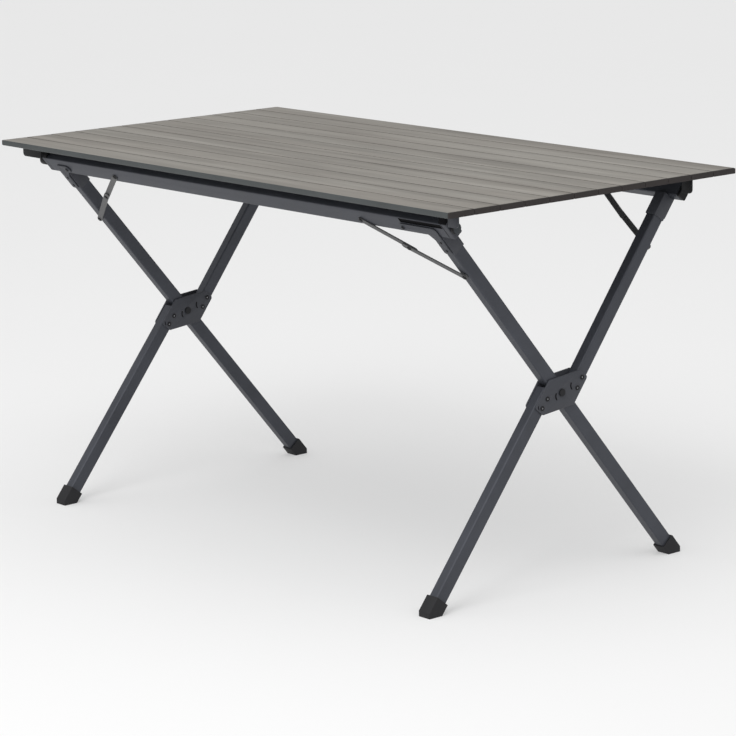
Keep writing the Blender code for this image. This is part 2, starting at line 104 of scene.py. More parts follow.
# Rivets of a corner: X from the leg's middle, Y from the rail's lower edge; shares are of the full size
PLATE_RIVETS = ((0.0015, -0.0129), (0.0015, -0.0330))
PLATE_RIVET_SHARE = 0.62
STAY = {
    "left": ((-0.171, 0.0135), (-0.088, -0.0500), (0.002, -0.1255)),
    "right": ((-0.180, 0.0125), (-0.095, -0.0400), (0.002, -0.0950)),
}
PIVOT = {"left": (-0.021, 0.013), "right": (-0.072, 0.013)}
PIVOT_SHARE = 0.85
PIN_HEAD = 0.0016

# Screws and ribs of a hub plate: Y and Z from the scissor bolt, and a rib's share of the full size
HUB_SCREWS = ((0.0450, 0.0270), (0.0245, 0.0284), (-0.0255, -0.0236), (-0.0447, -0.0245))
HUB_RIBS = ((0.0190, 0.0126, 1.0), (-0.0134, -0.0080, 1.0), (-0.0488, -0.0330, 0.6))
RIB_SPIN = math.radians(-45.0)
# A light dot on each screw head is a painted highlight: its lift and its size, as shares of the head's radius
SCREW_GLINT_LIFT = 0.12
SCREW_GLINT_SHARE = 0.36

# Turned heads of radius 1: radius and share of the head's height, from the foot's edge to the crown
HEAD_SIDES = 14
HEAD_FOOT = -0.05
RIVET_PROFILE = ((1.0, 0.35), (0.82, 0.78), (0.45, 1.0), (0.0, 1.05))
SCREW_PROFILE = ((1.0, 0.5), (0.8, 1.0), (0.42, 1.0), (0.36, 0.35), (0.0, 0.3))

# The curved rib, of radius 1
RIB_STEPS = 8
RIB_SPREAD = math.radians(76.0)
RIB_HALF_WIDTH = 0.13
RIB_CREST_SHARE = 0.6
RIB_FOOT = -0.05
RIB_HEIGHT = 0.09
RIB_END_DROP = 0.6

# The slot of the front rail: from the rail's end and its lower edge; and where the front right hook's
# lighter lip starts
SLOT_END = 0.0012
SLOT_LEVEL = 0.0282
LIP_START_X = 0.570

# Edges of a finish: samples, the cosines where the edge mask starts and is full, and the colour of the lighter
# edges, which are wear and a painted highlight; on the film the same mask lays painted shade
BEVEL_SAMPLES = 4
WEAR_AND_PAINTED_LIGHT_START = 0.99
WEAR_AND_PAINTED_LIGHT_FULL = 0.80
WEAR_AND_HIGHLIGHT_GAIN = 2.2
WEAR_AND_HIGHLIGHT_LIFT = 0.01

# A noise is its scale along each axis, detail and roughness; a blend runs between two of its values
WHITE = (1.0, 1.0, 1.0)
CLOUD = ((14.0, 14.0, 14.0), 4.0, 0.55)
CLOUD_BLEND = (0.30, 0.70)
GRAIN_BLEND = (0.35, 0.70)
GRAIN_TINT = (0.90, 0.90, 0.90)
GRAIN_DETAIL = 2.0
GRAIN_ROUGHNESS = 0.55
GRAIN_DEPTH = 0.0002
PAPER = ((1.5, 1.5, 1.5), 3.0, 0.55)
PAPER_BLEND = (0.3, 0.7)
PAPER_SHADE = 0.995
PAPER_ROUGH = (0.9, 0.95)
PAPER_SPECULAR = 0.1

# The film's broad grain, and layers that darken it: noise, blend, darkest tint and amount
FILM_BROAD = ((2.2, 38.0, 38.0), 5.0, 0.6)
FILM_BLEND = (0.32, 0.68)
FILM_LAYERS = {
    "zone": (((1.3, 13.0, 13.0), 1.0, 0.55), (0.36, 0.64), (0.90, 0.885, 0.88), 1.0),
    "streak": (((5.0, 420.0, 420.0), 4.0, 0.65), (0.34, 0.62), (0.84, 0.83, 0.82), 1.0),
    "pore": (((26.0, 1900.0, 1900.0), 2.0, 0.55), (0.33, 0.48), (0.86, 0.85, 0.84), 0.8),
}
# The film's rounded edges: their radius, and the painted shade along them where the slats meet, as a share of the
# dark colour and its amount
FILM_EDGE = 0.0007
FILM_EDGE_SHADE = 0.62
FILM_EDGE_SHADE_AMOUNT = 0.5
FILM_ROUGH = (0.50, 0.66)
FILM_SPECULAR = 0.3
FILM_RELIEF = 0.10
FILM_DEPTH = 0.0003

# Sockets of a Mix node that mixes colours
MIX_AMOUNT = 0
MIX_FIRST = 6
MIX_SECOND = 7
MIX_RESULT = 2

# The studio: the sky's slope and its share at the horizon, places, sizes and the camera
SKY_SLOPE = (0.22, -0.30, 1.10)
SKY_HORIZON = 0.22
PAPER_SHARE = 0.85
PAPER_GLOW = 0.32
FLOOR_REACH = 30.0
LIGHT_TARGET = Vector((0.0, 0.0, 0.4))
KEY_PLACE = Vector((1.2, -2.4, 3.4))
KEY_SIZE = (2.2, 2.2)
FILL_PLACE = Vector((-0.6, -4.2, 1.6))
FILL_SIZE = (3.0, 1.6)
CAMERA_PLACE = Vector((4.149, -3.559, 1.473))
SENSOR_WIDTH = 36.0
NEAREST = 0.1
FARTHEST = 100.0


# Settings

class SlatSettings(bpy.types.PropertyGroup):
    """Sizes of the slats of the top."""
    edge: bpy.props.FloatProperty(
        name="Edge radius", description="Radius along a slat's edges", default=0.0014, unit="LENGTH")
    cap: bpy.props.FloatProperty(
        name="Cap length", description="Length of the cap on each end of a slat", default=0.0030,
        unit="LENGTH")
    cap_step: bpy.props.FloatProperty(
        name="Cap step", description="How far a cap stands below the slat's faces", default=0.0003,
        unit="LENGTH")


class FastenerSettings(bpy.types.PropertyGroup):
    """Sizes of rivets, screws and ribs."""
    rivet: bpy.props.FloatProperty(
        name="Rivet radius", description="Radius of a stay or plate rivet's head", default=0.0042,
        unit="LENGTH")
    screw: bpy.props.FloatProperty(
        name="Screw radius", description="Radius of a hub plate screw's head", default=0.0044,
        unit="LENGTH")
    height: bpy.props.FloatProperty(
        name="Head height", description="Height of a head as a share of its radius", default=0.42,
        min=0.0, max=1.0, subtype="FACTOR")
    rib: bpy.props.FloatProperty(
        name="Rib radius", description="Radius of the curved ribs on the hub plates", default=0.0100,
        unit="LENGTH")


class FrameSettings(bpy.types.PropertyGroup):
    """Softened edges and the slot of the front rail."""
    edge: bpy.props.FloatProperty(
        name="Edge", description="Width of the softened edges", default=0.0006, unit="LENGTH")
    foot_edge: bpy.props.FloatProperty(
        name="Foot edge", description="Width of the softened edges of the feet", default=0.0008,
        unit="LENGTH")
    slot_length: bpy.props.FloatProperty(
        name="Slot length", description="Length of the slot in the front rail's face", default=0.104,
        unit="LENGTH")
    slot_height: bpy.props.FloatProperty(
        name="Slot height", description="Height of the slot in the front rail's face", default=0.0095,
        unit="LENGTH")
    slot_depth: bpy.props.FloatProperty(
        name="Slot depth", description="Depth of the slot in the front rail's face", default=0.0014,
        unit="LENGTH")


class ColorSettings(bpy.types.PropertyGroup):
    """Colours of the finishes, and of painted shade, sheen and highlights."""
    film_dark: bpy.props.FloatVectorProperty(
        name="Film, dark", description="Darkest colour of the wood-look film's broad grain",
        default=(0.218, 0.208, 0.190), subtype="COLOR")
    film_light: bpy.props.FloatVectorProperty(
        name="Film, light", description="Lightest colour of the wood-look film's broad grain",
        default=(0.312, 0.298, 0.272), subtype="COLOR")
    slat: bpy.props.FloatVectorProperty(
        name="Slats", description="Coating of the slats below the film",
        default=(0.068, 0.075, 0.076), subtype="COLOR")
    # Painted shade: the dark sides of the slats in the gaps between them
    joint: bpy.props.FloatVectorProperty(
        name="Slat joints", description="Sides of the slats where they meet",
        default=(0.022, 0.017, 0.015), subtype="COLOR")
    slat_cap: bpy.props.FloatVectorProperty(
        name="Slat caps", description="Caps on the ends of the slats",
        default=(0.026, 0.021, 0.020), subtype="COLOR")
    tube: bpy.props.FloatVectorProperty(
        name="Tubes", description="Coating of the rails and legs",
        default=(0.060, 0.064, 0.077), subtype="COLOR")
    hub: bpy.props.FloatVectorProperty(
        name="Plates", description="Coating of the hub and hinge plates, sockets and castings",
        default=(0.054, 0.057, 0.068), subtype="COLOR")
    link: bpy.props.FloatVectorProperty(
        name="Stays", description="Coating of the stay links",
        default=(0.110, 0.110, 0.112), subtype="COLOR")
    # Painted highlight: the light dot on each hub screw's head
    steel: bpy.props.FloatVectorProperty(
        name="Steel", description="Zinc of the pins in the screws",
        default=(0.42, 0.43, 0.45), subtype="COLOR")
    rivet: bpy.props.FloatVectorProperty(
        name="Rivets", description="Black of the rivets, screws and scissor bolts",
        default=(0.012, 0.012, 0.014), subtype="COLOR")
    plastic: bpy.props.FloatVectorProperty(
        name="Fittings", description="Plastic of the hooks, seats, rail caps and knobs",
        default=(0.010, 0.010, 0.011), subtype="COLOR")
    # Painted sheen: the right knob's end face, lighter than the black plastic of the knobs
    knob: bpy.props.FloatVectorProperty(
        name="Knob face", description="Plastic of the right knob's end face",
        default=(0.030, 0.036, 0.042), subtype="COLOR")
    rubber: bpy.props.FloatVectorProperty(
        name="Feet", description="Rubber of the feet", default=(0.016, 0.016, 0.018), subtype="COLOR")
    # Painted shade in the slot, on the ribs and over most of the front right hook
    shadow: bpy.props.FloatVectorProperty(
        name="Recesses", description="Dark plastic in the slot, the ribs and the front right hook",
        default=(0.005, 0.005, 0.006), subtype="COLOR")
    paper: bpy.props.FloatVectorProperty(
        name="Floor", description="Paper of the studio floor", default=(0.52, 0.52, 0.52),
        subtype="COLOR")


class StageSettings(bpy.types.PropertyGroup):
    """Camera and studio."""
    lens: bpy.props.FloatProperty(
        name="Lens", description="Focal length in millimetres", default=148.45, unit="CAMERA")
    azimuth: bpy.props.FloatProperty(
        name="Azimuth", description="Camera azimuth", default=math.radians(49.14), subtype="ANGLE")
    elevation: bpy.props.FloatProperty(
        name="Elevation", description="Camera elevation", default=math.radians(12.10), subtype="ANGLE")
    roll: bpy.props.FloatProperty(
        name="Roll", description="Camera roll", default=math.radians(0.89), subtype="ANGLE")
    key: bpy.props.FloatProperty(
        name="Key light", description="Power of the key light", default=62.0, unit="POWER")
    fill: bpy.props.FloatProperty(
        name="Fill light", description="Power of the front fill light", default=4.0, unit="POWER")
    sky: bpy.props.FloatProperty(
        name="Sky", description="Strength of the surrounding light", default=0.98)


class TableSettings(bpy.types.PropertyGroup):
    """All settings of the folding camp table."""
    slats: bpy.props.PointerProperty(type=SlatSettings, name="Slats", description="Slats of the top")
    fasteners: bpy.props.PointerProperty(
        type=FastenerSettings, name="Fasteners", description="Rivets, screws and ribs")
    frame: bpy.props.PointerProperty(type=FrameSettings, name="Frame", description="Frame")
    colors: bpy.props.PointerProperty(type=ColorSettings, name="Colours", description="Finishes")
    stage: bpy.props.PointerProperty(type=StageSettings, name="Stage", description="Stage")


# Materials

class Nodes:
    """Shorthand for building a material's nodes."""

    def __init__(self, name):
        self.material = bpy.data.materials.get(name) or bpy.data.materials.new(name)
        self.material.use_nodes = True
        self.tree = self.material.node_tree
        self.tree.nodes.clear()
        self.shader = self.make("ShaderNodeBsdfPrincipled")
        output = self.make("ShaderNodeOutputMaterial")
        self.link(self.shader.outputs["BSDF"], output.inputs["Surface"])
        self.place = self.make("ShaderNodeTexCoord").outputs["Object"]

    def make(self, kind):
        return self.tree.nodes.new(kind)

    def link(self, out_socket, in_socket):
        self.tree.links.new(out_socket, in_socket)

    def noise(self, scale, detail, rough):
        """Noise in the object's own metres, stretched by a scale for each axis."""
        mapping = self.make("ShaderNodeMapping")
        mapping.inputs["Scale"].default_value = scale
        self.link(self.place, mapping.inputs["Vector"])
        noise = self.make("ShaderNodeTexNoise")
        noise.inputs["Scale"].default_value = 1.0
        noise.inputs["Detail"].default_value = detail
        noise.inputs["Roughness"].default_value = rough
        self.link(mapping.outputs["Vector"], noise.inputs["Vector"])
        return noise.outputs["Fac"]

    def ramp(self, value, blend, colors):
        """Two colours, with a blend between two values."""
        ramp = self.make("ShaderNodeValToRGB")
        for element, position, color in zip(ramp.color_ramp.elements, blend, colors):
            element.position = position
            element.color = (*color, 1.0)
        self.link(value, ramp.inputs["Fac"])
        return ramp.outputs["Color"]

    def mix(self, amount, first, second, blend="MIX"):
        """Mix two colours; an amount or a colour is a value or a socket."""
        node = self.make("ShaderNodeMix")
        node.data_type = "RGBA"
        node.blend_type = blend
        for index, value in ((MIX_AMOUNT, amount), (MIX_FIRST, first), (MIX_SECOND, second)):
            if isinstance(value, bpy.types.NodeSocket):
                self.link(value, node.inputs[index])
            elif index == MIX_AMOUNT:
                node.inputs[index].default_value = value
            else:
                node.inputs[index].default_value = (*value, 1.0)
        return node.outputs[MIX_RESULT]

    def tinted(self, body, value, blend, darkest, amount=1.0):
        """A colour that darkens where a value is low."""
        return self.mix(amount, body, self.ramp(value, blend, (darkest, WHITE)), "MULTIPLY")

    def times(self, value, factor):
        """A value times a number."""
        product = self.make("ShaderNodeMath")
        product.operation = "MULTIPLY"
        product.inputs[1].default_value = factor
        self.link(value, product.inputs[0])
        return product.outputs["Value"]

    def edges(self, radius):
        """A value that rises on outer edges, and a normal that rounds them."""
        bevel = self.make("ShaderNodeBevel")
        bevel.samples = BEVEL_SAMPLES
        bevel.inputs["Radius"].default_value = radius
        geometry = self.make("ShaderNodeNewGeometry")
        dot = self.make("ShaderNodeVectorMath")
        dot.operation = "DOT_PRODUCT"
        self.link(bevel.outputs["Normal"], dot.inputs[0])
        self.link(geometry.outputs["Normal"], dot.inputs[1])
        wear_and_painted_light = self.make("ShaderNodeMapRange")
        wear_and_painted_light.inputs["From Min"].default_value = WEAR_AND_PAINTED_LIGHT_START
        wear_and_painted_light.inputs["From Max"].default_value = WEAR_AND_PAINTED_LIGHT_FULL
        self.link(dot.outputs["Value"], wear_and_painted_light.inputs["Value"])
        return wear_and_painted_light.outputs["Result"], bevel.outputs["Normal"]

    def roughness(self, value, low, high):
        """Roughness that follows a value."""
        spread = self.make("ShaderNodeMapRange")
        spread.inputs["To Min"].default_value = low
        spread.inputs["To Max"].default_value = high
        self.link(value, spread.inputs["Value"])
        self.link(spread.outputs["Result"], self.shader.inputs["Roughness"])

    def bump(self, value, strength, distance, normal):
        """Fine relief on top of a normal."""
        bump = self.make("ShaderNodeBump")
        bump.inputs["Strength"].default_value = strength
        bump.inputs["Distance"].default_value = distance
        self.link(value, bump.inputs["Height"])
        self.link(normal, bump.inputs["Normal"])
        self.link(bump.outputs["Normal"], self.shader.inputs["Normal"])


def scaled(color, factor):
    """A colour times a number."""
    return tuple(min(1.0, part * factor) for part in color)


def coated(name, color, spread=0.12, rough=(0.38, 0.52), metallic=0.0, edge=0.0006, wear_and_painted_light=0.25,
           grain=1600.0, bump=0.12, specular=0.35):
    """A coated or moulded surface: cloudy colour, fine grain and lighter edges, which are wear and a painted
    highlight.
    """
    nodes = Nodes(name)
    cloud = nodes.noise(*CLOUD)
    fine = nodes.noise((grain, grain, grain), GRAIN_DETAIL, GRAIN_ROUGHNESS)
    body = nodes.ramp(cloud, CLOUD_BLEND, (scaled(color, 1.0 - spread), scaled(color, 1.0 + spread)))
    body = nodes.tinted(body, fine, GRAIN_BLEND, GRAIN_TINT)
    wear_and_painted_light_edges, normal = nodes.edges(edge)
    # Lighter edges: wear, and a painted highlight along them
    wear_and_highlight_color = tuple(min(1.0, part * WEAR_AND_HIGHLIGHT_GAIN + WEAR_AND_HIGHLIGHT_LIFT) for part in color)
    nodes.link(nodes.mix(nodes.times(wear_and_painted_light_edges, wear_and_painted_light), body, wear_and_highlight_color), nodes.shader.inputs["Base Color"])
    nodes.shader.inputs["Metallic"].default_value = metallic
    nodes.shader.inputs["Specular IOR Level"].default_value = specular
    nodes.roughness(cloud, *rough)
    nodes.bump(fine, bump, GRAIN_DEPTH, normal)
    return nodes.material


def wood_film(name, dark, light):
    """Wood-look film with its grain along X, different from slat to slat, and painted shade along its edges."""
    nodes = Nodes(name)
    body = nodes.ramp(nodes.noise(*FILM_BROAD), FILM_BLEND, (dark, light))
    values = {}
    for layer, (noise, blend, tint, amount) in FILM_LAYERS.items():
        values[layer] = nodes.noise(*noise)
        body = nodes.tinted(body, values[layer], blend, tint, amount)
    wear_and_painted_light_edges, normal = nodes.edges(FILM_EDGE)
    # Painted shade along the film's edges, where the slats meet
    body = nodes.mix(nodes.times(wear_and_painted_light_edges, FILM_EDGE_SHADE_AMOUNT), body, scaled(dark, FILM_EDGE_SHADE))
    nodes.link(body, nodes.shader.inputs["Base Color"])
    nodes.shader.inputs["Specular IOR Level"].default_value = FILM_SPECULAR
    nodes.roughness(values["streak"], *FILM_ROUGH)
    nodes.bump(values["streak"], FILM_RELIEF, FILM_DEPTH, normal)
    return nodes.material


def floor_paint(name, color, glow):
    """Pale studio paper with a trace of unevenness, lit through from below."""
    nodes = Nodes(name)
    cloud = nodes.noise(*PAPER)
    body = nodes.ramp(cloud, PAPER_BLEND, (scaled(color, PAPER_SHADE), color))
    nodes.link(body, nodes.shader.inputs["Base Color"])
    nodes.shader.inputs["Specular IOR Level"].default_value = PAPER_SPECULAR
    nodes.shader.inputs["Emission Color"].default_value = (*WHITE, 1.0)
    nodes.shader.inputs["Emission Strength"].default_value = glow
    nodes.roughness(cloud, *PAPER_ROUGH)
    return nodes.material


def make_materials(colors):
    """Every material of the table, by name."""
    return {
        "top": wood_film("wood_look_film", colors.film_dark, colors.film_light),
        "slat": coated("slat_coating", colors.slat, metallic=0.2, wear_and_painted_light=0.1),
        # Painted shade in the gaps between the slats
        "joint": coated("slat_gap_shade", colors.joint, rough=(0.6, 0.7), wear_and_painted_light=0.0, specular=0.1),
        "slat_cap": coated("slat_cap_plastic", colors.slat_cap, rough=(0.55, 0.7)),
        "tube": coated("frame_coating", colors.tube, metallic=0.35, wear_and_painted_light=0.06),
        "hub": coated("hub_coating", colors.hub, rough=(0.48, 0.6), wear_and_painted_light=0.15),
        "link": coated("stay_coating", colors.link, metallic=0.35, wear_and_painted_light=0.35),
        # Painted highlight: the light dot on each hub screw
        "steel": coated("screw_glint_paint", colors.steel, rough=(0.25, 0.4), metallic=0.9, wear_and_painted_light=0.5),
        "rivet": coated("rivet_black", colors.rivet, rough=(0.35, 0.5), metallic=0.3, wear_and_painted_light=0.3),
        "plastic": coated("fitting_plastic", colors.plastic, rough=(0.42, 0.6), specular=0.2),
        # Painted sheen on the right knob's end face
        "knob": coated("knob_face_sheen", colors.knob, rough=(0.22, 0.34), edge=0.001),
        "rubber": coated("foot_rubber", colors.rubber, rough=(0.6, 0.78), bump=0.3, grain=900.0),
        # Painted shade for the slot, the ribs and the front right hook
        "shadow": coated("painted_shade", colors.shadow, rough=(0.7, 0.8), wear_and_painted_light=0.0, specular=0.08),
        "floor": floor_paint("studio_paper", colors.paper, PAPER_GLOW),
    }


# Shapes

def half_matrix(slope, flip):
    """From a half's own axes to the table's."""
    turn = Euler((math.pi - slope, 0.0, math.pi if flip else 0.0)).to_matrix().to_4x4()
    return Matrix.Translation(HUB) @ turn


HALVES = {
    "front": {"matrix": half_matrix(FRONT_SLOPE, False), "flip": False, "bottom": FRONT_RAIL_BOTTOM,
              "offset": 0.0, "body": "front_frame"},
    "rear": {"matrix": half_matrix(REAR_SLOPE, True), "flip": True, "bottom": REAR_RAIL_BOTTOM,
             "offset": LEG_OFFSET, "body": "rear_frame"},
}


def side_of(half, along):
    """A half's own X for a sign or a length along the table."""
    return -along if half["flip"] else along


def on_half(half, x, y, z):
    """A place on a half, facing out of its front."""
    return half["matrix"] @ Matrix.Translation((x, y, z))


def shade_by_angle(mesh):
    """Smooth shading that stops at sharp edges."""
    mesh.shade_smooth()
    mesh.set_sharp_from_angle(angle=SHARP_ANGLE)


def closed_mesh(bm, name):
    """A mesh with its faces outward; an open edge is an error."""
    bmesh.ops.recalc_face_normals(bm, faces=bm.faces)
    open_edges = sum(1 for edge in bm.edges if not edge.is_manifold)
    if open_edges:
        raise RuntimeError(f"{name} has {open_edges} open edges")
    mesh = bpy.data.meshes.new(name)
    bm.to_mesh(mesh)
    bm.free()
    return mesh


def linked_object(name, data):
    """An object in the scene."""
    item = bpy.data.objects.new(name, data)
    bpy.context.scene.collection.objects.link(item)
    return item


def place_piece(name, mesh, body, materials, replaced=()):
    """A piece at the origin that rides a body and stands for CAD nodes.

    A mesh that already has its materials keeps them, with the faces that use each one.
    """
    piece = linked_object(name, mesh)
    for material in materials:
        if material.name not in mesh.materials:
            mesh.materials.append(material)
    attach(piece, body)
    if replaced:
        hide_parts(*replaced)
    return piece


def repaint(node, material):
    """Give a CAD node a finished material in its own slots."""
    mesh = frame["nodes"][node].data
    if not mesh.materials:
        mesh.materials.append(material)
    for index in range(len(mesh.materials)):
        mesh.materials[index] = material


def plain_copy(node):
    """A CAD node's shape with its seams closed and its flat faces joined."""
    bm = bmesh.new()
    bm.from_mesh(frame["nodes"][node].data)
    bmesh.ops.remove_doubles(bm, verts=bm.verts, dist=MERGE)
    bmesh.ops.dissolve_limit(bm, angle_limit=FLAT_ANGLE, verts=bm.verts, edges=bm.edges)
    return bm


def softened_piece(node, material, width, steps=EDGE_STEPS):
    """A stand-in for a CAD node, with its sharp edges rounded."""
    bm = plain_copy(node)
    sharp = [edge for edge in bm.edges
             if len(edge.link_faces) == 2 and edge.calc_face_angle() > SHARP_ANGLE]
    bmesh.ops.bevel(bm, geom=sharp, offset=width, offset_type="OFFSET", segments=steps, profile=0.5,
                    affect="EDGES", clamp_overlap=True)
    mesh = closed_mesh(bm, f"{node}_shape")
    shade_by_angle(mesh)
    return place_piece(f"{node}_shape", mesh, BODY_OF[node], (material,), (node,))


def turned_head(name, outline, tall):
    """A closed turned head along Z, of radius 1; it is used as a pattern and isn't in the scene."""
    profile = [(0.0, HEAD_FOOT), (1.0, HEAD_FOOT), *((radius, share * tall) for radius, share in outline)]
    bm = bmesh.new()
    rings = []
    for radius, height in profile:
        turns = [2 * math.pi * i / HEAD_SIDES for i in range(HEAD_SIDES if radius else 1)]
        rings.append([bm.verts.new((radius * math.cos(turn), radius * math.sin(turn), height))
                      for turn in turns])
    for low, high in zip(rings, rings[1:]):
        for i in range(HEAD_SIDES):
            j = (i + 1) % HEAD_SIDES
            corners = [low[i % len(low)], low[j % len(low)], high[j % len(high)], high[i % len(high)]]
            bm.faces.new(list(dict.fromkeys(corners)))
    mesh = closed_mesh(bm, name)
    shade_by_angle(mesh)
    return bpy.data.objects.new(name, mesh)


def curved_rib(name):
    """A low curved rib of radius 1, opening towards +Y; it is used as a pattern, as a head is."""
    bm = bmesh.new()
    rings = []
    crest = RIB_HALF_WIDTH * RIB_CREST_SHARE
    for i in range(RIB_STEPS + 1):
        turn = -math.pi / 2 - RIB_SPREAD / 2 + RIB_SPREAD * i / RIB_STEPS
        height = RIB_HEIGHT * (1.0 - RIB_END_DROP * abs(2 * i / RIB_STEPS - 1) ** 4)
        corners = ((1 - RIB_HALF_WIDTH, RIB_FOOT), (1 + RIB_HALF_WIDTH, RIB_FOOT),
                   (1 + crest, height), (1 - crest, height))
        rings.append([bm.verts.new((radius * math.cos(turn), radius * math.sin(turn) + 1.0, level))
                      for radius, level in corners])
    for first, second in zip(rings, rings[1:]):
        for i in range(len(first)):
            j = (i + 1) % len(first)
            bm.faces.new((first[i], first[j], second[j], second[i]))
    bm.faces.new(rings[0])
    bm.faces.new(rings[-1])
    mesh = closed_mesh(bm, name)
    shade_by_angle(mesh)
    return bpy.data.objects.new(name, mesh)


# Geometry Nodes

def new_tree(name, inputs):
    """A node tree with one geometry input, the named inputs and one geometry output."""
    tree = bpy.data.node_groups.new(name, "GeometryNodeTree")
    tree.interface.new_socket("Geometry", in_out="INPUT", socket_type="NodeSocketGeometry")
    for label, kind in inputs:
        tree.interface.new_socket(label, in_out="INPUT", socket_type=kind)
    tree.interface.new_socket("Geometry", in_out="OUTPUT", socket_type="NodeSocketGeometry")
    return tree, tree.nodes.new("NodeGroupInput"), tree.nodes.new("NodeGroupOutput")


def finish_tree(tree, source, target, geometry):
    """End a tree in Realize Instances and Set Material."""
    realize = tree.nodes.new("GeometryNodeRealizeInstances")
    paint = tree.nodes.new("GeometryNodeSetMaterial")
    tree.links.new(geometry, realize.inputs["Geometry"])
    tree.links.new(realize.outputs["Geometry"], paint.inputs["Geometry"])
    tree.links.new(source.outputs["Material"], paint.inputs["Material"])
    tree.links.new(paint.outputs["Geometry"], target.inputs["Geometry"])
    return tree


def slat_tree():
    """A slat's body or cap: a rounded section swept along X and closed at both ends."""
    tree, source, target = new_tree("slat_bar", (
        ("Start", "NodeSocketVector"), ("End", "NodeSocketVector"), ("Width", "NodeSocketFloat"),
        ("Thickness", "NodeSocketFloat"), ("Edge", "NodeSocketFloat"), ("Steps", "NodeSocketInt"),
        ("Material", "NodeSocketMaterial")))
    line = tree.nodes.new("GeometryNodeCurvePrimitiveLine")
    section = tree.nodes.new("GeometryNodeCurvePrimitiveQuadrilateral")
    fillet = tree.nodes.new("GeometryNodeFilletCurve")
    fillet.mode = "POLY"
    sweep = tree.nodes.new("GeometryNodeCurveToMesh")
    sweep.inputs["Fill Caps"].default_value = True
    link = tree.links.new
    link(source.outputs["Start"], line.inputs["Start"])
    link(source.outputs["End"], line.inputs["End"])
    link(source.outputs["Width"], section.inputs["Width"])
    link(source.outputs["Thickness"], section.inputs["Height"])
    link(section.outputs["Curve"], fillet.inputs["Curve"])
    link(source.outputs["Edge"], fillet.inputs["Radius"])
    link(source.outputs["Steps"], fillet.inputs["Count"])
    link(line.outputs["Curve"], sweep.inputs["Curve"])
    link(fillet.outputs["Curve"], sweep.inputs["Profile Curve"])
    return finish_tree(tree, source, target, sweep.outputs["Mesh"])


def scatter_tree():
    """Copies of a shape on points, each turned and sized by the point's own attributes."""
    tree, source, target = new_tree("repeated_shape", (
        ("Shape", "NodeSocketObject"), ("Size", "NodeSocketFloat"), ("Material", "NodeSocketMaterial")))
    shape = tree.nodes.new("GeometryNodeObjectInfo")
    turn = tree.nodes.new("GeometryNodeInputNamedAttribute")
    turn.data_type = "FLOAT_VECTOR"
    turn.inputs["Name"].default_value = "turn"
    rotation = tree.nodes.new("FunctionNodeEulerToRotation")
    share = tree.nodes.new("GeometryNodeInputNamedAttribute")
    share.data_type = "FLOAT"
    share.inputs["Name"].default_value = "share"
    product = tree.nodes.new("ShaderNodeMath")
    product.operation = "MULTIPLY"
    copies = tree.nodes.new("GeometryNodeInstanceOnPoints")
    link = tree.links.new
    link(source.outputs["Geometry"], copies.inputs["Points"])
    link(source.outputs["Shape"], shape.inputs["Object"])
    link(shape.outputs["Geometry"], copies.inputs["Instance"])
    link(turn.outputs["Attribute"], rotation.inputs["Euler"])
    link(rotation.outputs["Rotation"], copies.inputs["Rotation"])
    link(share.outputs["Attribute"], product.inputs[0])
    link(source.outputs["Size"], product.inputs[1])
    link(product.outputs["Value"], copies.inputs["Scale"])
    return finish_tree(tree, source, target, copies.outputs["Instances"])


def evaluated_mesh(item):
    """The mesh that an object's modifiers give, shaded by angle."""
    graph = bpy.context.evaluated_depsgraph_get()
    mesh = bpy.data.meshes.new_from_object(item.evaluated_get(graph), depsgraph=graph)
    shade_by_angle(mesh)
    return mesh


def grown_mesh(tree, values, points=None):
    """Run a tree once with its inputs set, and keep the result as a plain mesh."""
    holder = linked_object("growing", points or bpy.data.meshes.new("growing"))
    modifier = holder.modifiers.new("Nodes", "NODES")
    modifier.node_group = tree
    for item in tree.interface.items_tree:
        if item.in_out == "INPUT" and item.name in values:
            modifier[item.identifier] = values[item.name]
    mesh = evaluated_mesh(holder)
    holder.modifiers.remove(modifier)
    bpy.data.objects.remove(holder, do_unlink=True)
    if not mesh.polygons:
        raise RuntimeError(f"{tree.name} made no faces")
    return mesh


def marked_points(places):
    """Points with a turn and a share of the size: places holds (matrix, share) pairs."""
    mesh = bpy.data.meshes.new("places")
    mesh.from_pydata([matrix.to_translation() for matrix, _ in places], [], [])
    mesh.attributes.new("turn", "FLOAT_VECTOR", "POINT")
    mesh.attributes.new("share", "FLOAT", "POINT")
    turn = mesh.attributes["turn"]
    share = mesh.attributes["share"]
    for index, (matrix, amount) in enumerate(places):
        turn.data[index].vector = matrix.to_euler()
        share.data[index].value = amount
    return mesh


def scattered_piece(name, tree, shape, places, size, body, material):
    """One piece with a copy of the shape at every place."""
    mesh = grown_mesh(tree, {"Shape": shape, "Size": size, "Material": material}, marked_points(places))
    return place_piece(name, mesh, body, (material,))


# Builders

def paint_slat(mesh, number, materials):
    """Film on the upper face, painted shade on the sides towards the neighbours and coated metal elsewhere."""
    index = {}
    for name in ("top", "joint", "slat"):
        if materials[name].name not in mesh.materials:
            mesh.materials.append(materials[name])
        index[name] = mesh.materials.find(materials[name].name)
    for face in mesh.polygons:
        has_neighbour = number < len(SLATS) if face.normal.y > 0 else number > 1
        if face.normal.z > FILM_LIMIT:
            face.material_index = index["top"]
        elif has_neighbour and abs(face.normal.y) > SIDE_LIMIT:
            face.material_index = index["joint"]
        else:
            face.material_index = index["slat"]


def slat_bar(tree, node, start, end, step, edge, material):
    """A length of a slat's section, a step inside its faces."""
    low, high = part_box(node)
    middle = (low + high) / 2
    return grown_mesh(tree, {
        "Start": (start, middle.y, middle.z), "End": (end, middle.y, middle.z),
        "Width": high.y - low.y - 2 * step, "Thickness": high.z - low.z - 2 * step,
        "Edge": edge, "Steps": SLAT_EDGE_STEPS, "Material": material})


